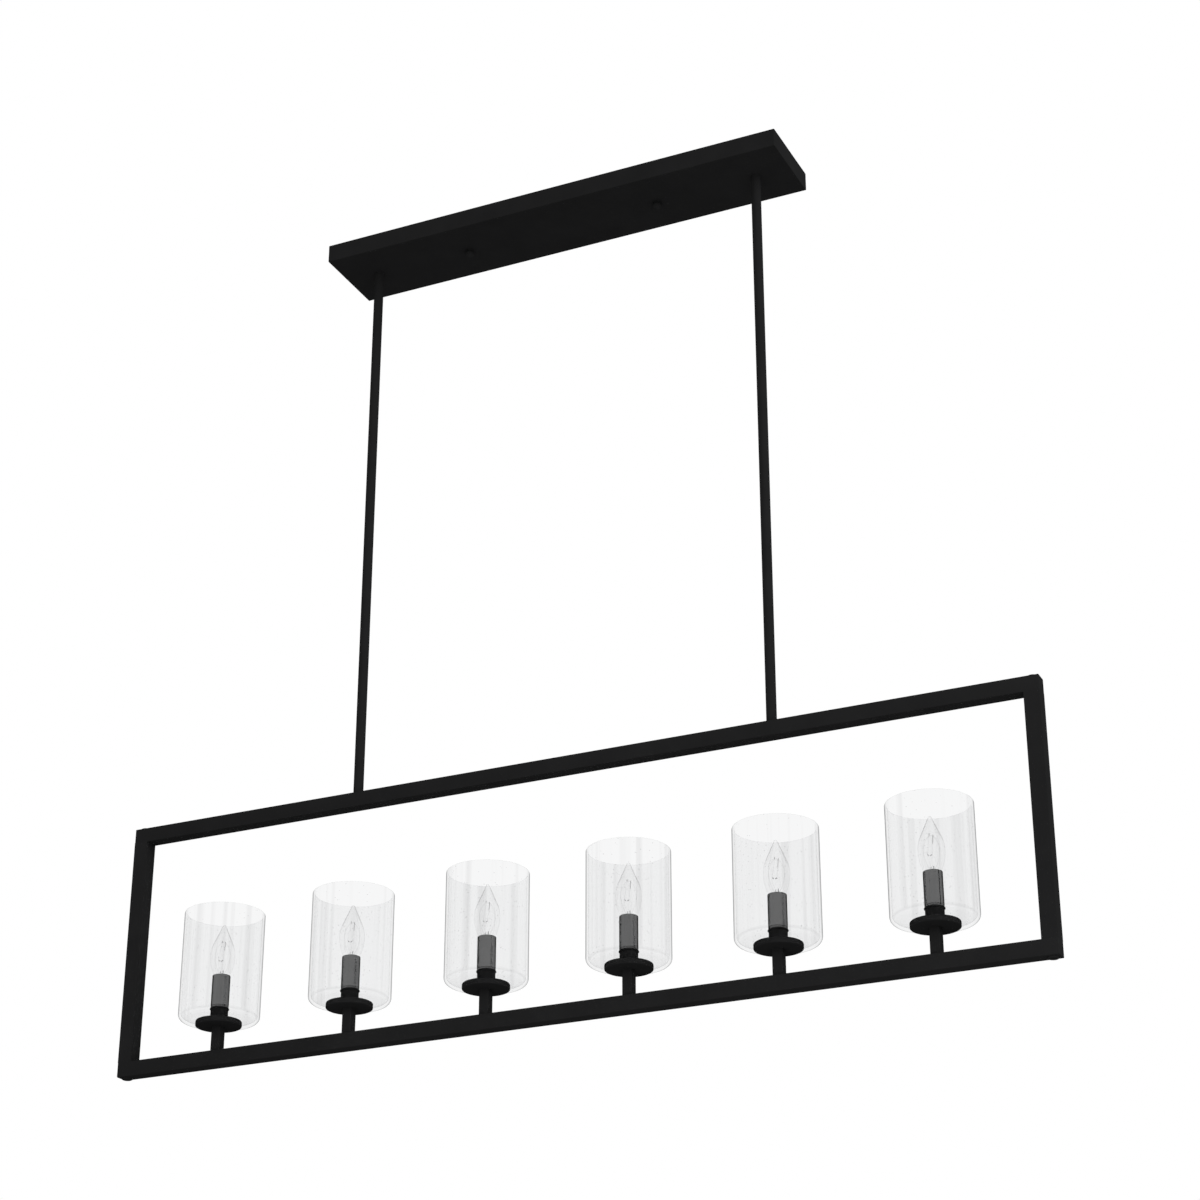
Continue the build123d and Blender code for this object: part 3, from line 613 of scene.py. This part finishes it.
def bulb_line(inset):
    """The outline from neck to tip, or the one inside it by the glass's thickness."""
    flare = FLARE_RADIUS + inset
    line = rounded((NECK_RADIUS - inset + flare, CAP_TOP), flare, 180, 180 - FLARE_LEAN, 7)
    belly = BELLY_RADIUS - inset
    lean = math.radians(FLARE_LEAN)
    centre = (line[-1][0] - belly * math.cos(lean), line[-1][1] + belly * math.sin(lean))
    line += rounded(centre, belly, -FLARE_LEAN, 0, 7)[1:]
    shoulder = SHOULDER_RADIUS - inset
    centre = (line[-1][0] - shoulder, line[-1][1])
    line += rounded(centre, shoulder, 0, SHOULDER_LEAN, 8)[1:]
    tip = TIP_RADIUS - inset
    lean = math.radians(SHOULDER_LEAN)
    run = (line[-1][0] - tip * math.cos(lean)) / math.tan(lean)
    middle = line[-1][1] + run - tip * math.sin(lean)
    line += rounded((0, middle), tip, SHOULDER_LEAN, 90, 5)
    return line[:-1] + [(0, middle + tip)]


bulb = walled(thrown("bulb_glass", BULB, bulb_line(0)[::-1] + bulb_line(BULB_WALL), 72))

# The screw cap: a core with a lip, a rolled thread wound round it, an insulator and a contact
THREAD_FOOT = BULB_CONTACT + 0.0038
THREAD_PITCH = 0.00254
THREAD_TURNS = 4
THREAD_CREST = 0.00588
THREAD_ROOT = 0.00526
WAVE_STEPS = 10

core = thrown("core", CAP, rings_above(BULB_CONTACT, (
    (0, 3.3), (4.9, 3.3), (5.25, 3.8), (5.25, 16.9), (5.7, 17.3), (6.3, 17.5), (6.5, 17.8),
    (6.5, 18.4), (6.3, 18.6), (0, 18.6))), 64)

# The thread: one wave from root to root, pulled up from a single point, then wound round the axis
thread = start(bpy.ops.mesh.primitive_plane_add, "thread", CAP, size=0.001,
               location=(THREAD_ROOT, 0, THREAD_FOOT))
bpy.ops.mesh.merge(type="COLLAPSE")
reach = THREAD_ROOT
for step in range(1, WAVE_STEPS + 1):
    rise = (1 - math.cos(2 * math.pi * step / WAVE_STEPS)) / 2
    wave = THREAD_ROOT + (THREAD_CREST - THREAD_ROOT) * rise
    pull(wave - reach, 0, THREAD_PITCH / WAVE_STEPS)
    reach = wave
bpy.ops.object.mode_set(mode="OBJECT")
bpy.ops.object.transform_apply(location=True)
wound(thread, THREAD_PITCH, THREAD_TURNS, 36)
cap = joined("bulb_cap", core, done(thread, 60))

insulator = thrown("bulb_insulator", PHENOLIC, rings_above(BULB_CONTACT, (
    (0, 1.1), (2.6, 1.1), (3.4, 1.6), (4.8, 3.2), (4.8, 3.5), (0, 3.5))), 48)
contact = thrown("bulb_contact", ZINC, rings_above(BULB_CONTACT, (
    (0, 0), (1.6, 0.05), (2.2, 0.4), (2.4, 0.8), (2.4, 1.2), (0, 1.2))), 40)

# Inside the bulb: a flared glass stem, two lead wires, a forked support and the filament
FILAMENT_TURN = math.radians(25)
LEAD_RADIUS = 0.00008
SUPPORT_RADIUS = 0.00005
RIGHT_PRESS_RADIUS = 0.00032
LEFT_PRESS_RADIUS = 0.00020


def in_bulb(across, height):
    """A point in the filament's plane, from millimetres off the axis and above the cap."""
    reach = across / 1000
    return (reach * math.cos(FILAMENT_TURN), reach * math.sin(FILAMENT_TURN),
            CAP_TOP + height / 1000)


# Where the filament's right and left legs start, where the right leg turns, and where the
# support parts in two
right_foot = in_bulb(0.6, 33.0)
left_foot = in_bulb(-5.0, 33.5)
knee = in_bulb(1.9, 46.0)
fork = in_bulb(0.4, 50)

stem = thrown("bulb_stem", STEM, rings_above(CAP_TOP, (
    (0, 0.4), (4.9, 0.4), (4.6, 1.6), (3.2, 4.5), (2.4, 8.0), (2.1, 13.0), (2.3, 16.0),
    (2.0, 17.4), (1.2, 18.2), (0, 18.4))), 40)
leads = joined(
    "bulb_leads",
    strand(NICKEL, LEAD_RADIUS, in_bulb(1.4, 12), in_bulb(1.6, 19), in_bulb(3.9, 24),
           in_bulb(3.9, 29), right_foot),
    strand(NICKEL, LEAD_RADIUS, in_bulb(-1.4, 12), in_bulb(-1.6, 19), in_bulb(-4.6, 25), left_foot),
    strand(NICKEL, SUPPORT_RADIUS, in_bulb(0, 16), in_bulb(0.2, 30), fork, in_bulb(2.7, 57.5)),
    strand(NICKEL, SUPPORT_RADIUS, fork, in_bulb(-1.6, 57.9)),
    strand(TUNGSTEN, RIGHT_PRESS_RADIUS, in_bulb(1.6, 15.5), in_bulb(1.6, 19.6)),
    strand(TUNGSTEN, LEFT_PRESS_RADIUS, in_bulb(-1.6, 15.5), in_bulb(-1.6, 18.6)),
)
# The filament's legs, both lower ends and its left upper end: from, to, wire, radius and pitch
filament = joined("bulb_filament", *[coil(*stretch) for stretch in (
    (knee, in_bulb(2.7, 57.0), 0.00012, 0.00036, 0.00060),
    (right_foot, knee, 0.00004, 0.00022, 0.00130),
    (left_foot, in_bulb(-1.6, 57.4), 0.00004, 0.00020, 0.00140),
    (in_bulb(-5.0, 33.3), in_bulb(-3.2, 31.6), 0.00014, 0.00036, 0.00060),
    (in_bulb(-1.6, 31.2), right_foot, 0.00014, 0.00036, 0.00060),
    (in_bulb(-1.8, 56.0), in_bulb(-1.5, 58.4), 0.00012, 0.00036, 0.00056),
)])

BULB_PIECES = (cap, insulator, contact, stem, leads, filament)
for x, number in LAMPS:
    placed(shade, x, number, f"shade_{number}", [f"glass_shade_{number}"])
    placed(sleeve, x, number, f"sleeve_{number}", [f"candle_sleeve_{number}"])
    placed(bulb, x, number, f"lamp_bulb_{number}", [f"bulb_{number}"])
    for piece in BULB_PIECES:
        placed(piece, x, number, f"lamp_bulb_{number}")
for pattern in (shade, sleeve, bulb, *BULB_PIECES):
    bpy.data.objects.remove(pattern)


# ---------------------------------------------------------------- room, light and camera

def floor_finish():
    """Plain pale floor, seen from above only. It throws less light up than it shows."""
    f = Finish("floor")
    seen = f.node("ShaderNodeLightPath", {}, output="Is Camera Ray")
    plain = f.node("ShaderNodeBsdfDiffuse", {}, Color=f.tint(seen, grey(0.46), grey(0.84)))
    clear = f.node("ShaderNodeBsdfTransparent", {})
    under = f.node("ShaderNodeNewGeometry", {}, output="Backfacing")
    return f.ended(f.node("ShaderNodeMixShader", {}, under, plain, clear))


FLOOR_HEIGHT = -2.44
FLOOR_SIZE = 40.0
bpy.ops.object.select_all(action="DESELECT")
bpy.ops.mesh.primitive_plane_add(size=FLOOR_SIZE, location=(0, 0, FLOOR_HEIGHT))
floor = bpy.context.object
floor.name = "floor"
floor.data.materials.append(floor_finish())

# The room: white to look at, straight, in a mirror or through glass, and dimmer as a light
ROOM_LIGHT = 0.62
world = bpy.data.worlds.new("room")
bpy.context.scene.world = world
room = Nodes(world)
path = room.make("ShaderNodeLightPath", {})
looks = [Value(room, path.outputs[ray])
         for ray in ("Is Camera Ray", "Is Glossy Ray", "Is Transmission Ray")]
seen = looks[0].most(looks[1]).most(looks[2])
air = room.node("ShaderNodeBackground", {}, Color=(1, 1, 1, 1), Strength=ROOM_LIGHT)
white = room.node("ShaderNodeBackground", {}, Color=(1, 1, 1, 1), Strength=1.0)
either = room.node("ShaderNodeMixShader", {}, seen, air, white)
room.make("ShaderNodeOutputWorld", {}, Surface=either)


def softbox(name, place, target, size, power):
    """An area light that points at a target. Neither the camera nor a mirror shows it."""
    bpy.ops.object.light_add(type="AREA", location=place)
    lamp = bpy.context.object
    lamp.name = name
    lamp.data.shape = "RECTANGLE"
    lamp.data.size, lamp.data.size_y = size
    lamp.data.energy = power
    lamp.rotation_euler = (Vector(target) - Vector(place)).to_track_quat("-Z", "Y").to_euler()
    lamp.visible_camera = False
    lamp.visible_glossy = False
    return lamp


MIDDLE = (0, 0, -0.7)
softbox("key", (4.4, -1.1, 0.6), MIDDLE, (3.0, 3.0), 106)
softbox("fill", (-1.5, -4.4, -0.4), MIDDLE, (3.0, 3.0), 30)
softbox("rim", (-2.6, 3.4, 0.4), MIDDLE, (3.0, 3.0), 30)
softbox("low", (0.5, -1.0, -2.35), (0, 0, -1.1), (1.6, 0.6), 9)

# The photograph's view: from below, to the right of the middle
eye = bpy.data.cameras.new("camera")
camera = bpy.data.objects.new("camera", eye)
bpy.context.scene.collection.objects.link(camera)
camera.location = (1.3306, -2.7335, -1.9990)
camera.rotation_euler = (math.radians(115.02), 0, math.radians(24.99))
eye.sensor_width = 36.0
eye.lens = 79.9
eye.clip_end = 100.0
bpy.context.scene.camera = camera
bpy.context.scene.view_settings.view_transform = "Standard"
# A ray through a shade and a bulb meets many glass walls
bpy.context.scene.cycles.transparent_max_bounces = 64
